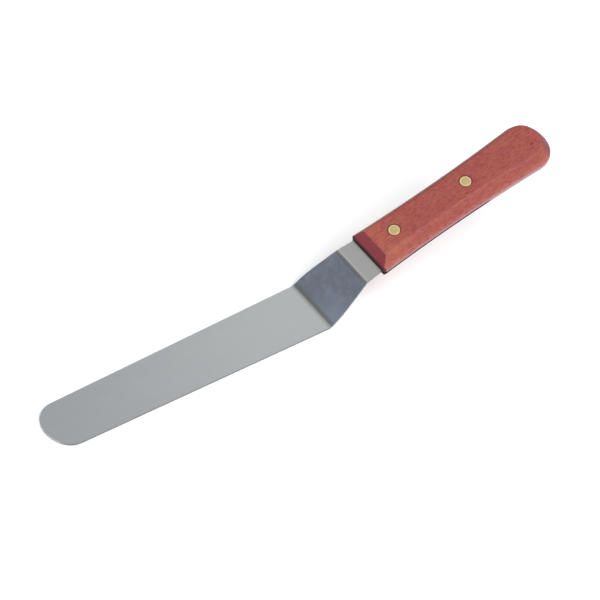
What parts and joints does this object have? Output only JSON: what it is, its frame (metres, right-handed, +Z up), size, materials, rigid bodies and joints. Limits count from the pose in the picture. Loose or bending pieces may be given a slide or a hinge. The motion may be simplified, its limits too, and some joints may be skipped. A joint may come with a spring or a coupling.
{
  "type": "palette knife",
  "caption": "Cranked palette knife with a long round-ended stainless blade, a sloping offset neck and a riveted red hardwood handle with a saw-cut slot for the tang.",
  "frame": {"origin": "centre of the whole knife's footprint, on the surface that the underside of the blade lies on", "axes": "+X runs from the blade's tip towards the handle's butt, +Y across the blade, +Z up from the blade's flat underside"},
  "size_m": [0.3122, 0.0318, 0.0659],
  "materials": {
    "stainless_steel": "fine satin, ground along the blade",
    "hardwood": "sanded smooth, thin satin lacquer, fine dark pores",
    "brass": "flush, sanded with the wood, slightly dulled"
  },
  "bodies": {
    "root": {"blade": "stainless_steel", "handle": "hardwood", "front_rivet_stud": "brass", "front_rivet_tube": "brass", "rear_rivet_stud": "brass", "rear_rivet_tube": "brass"}
  },
  "joints": []
}
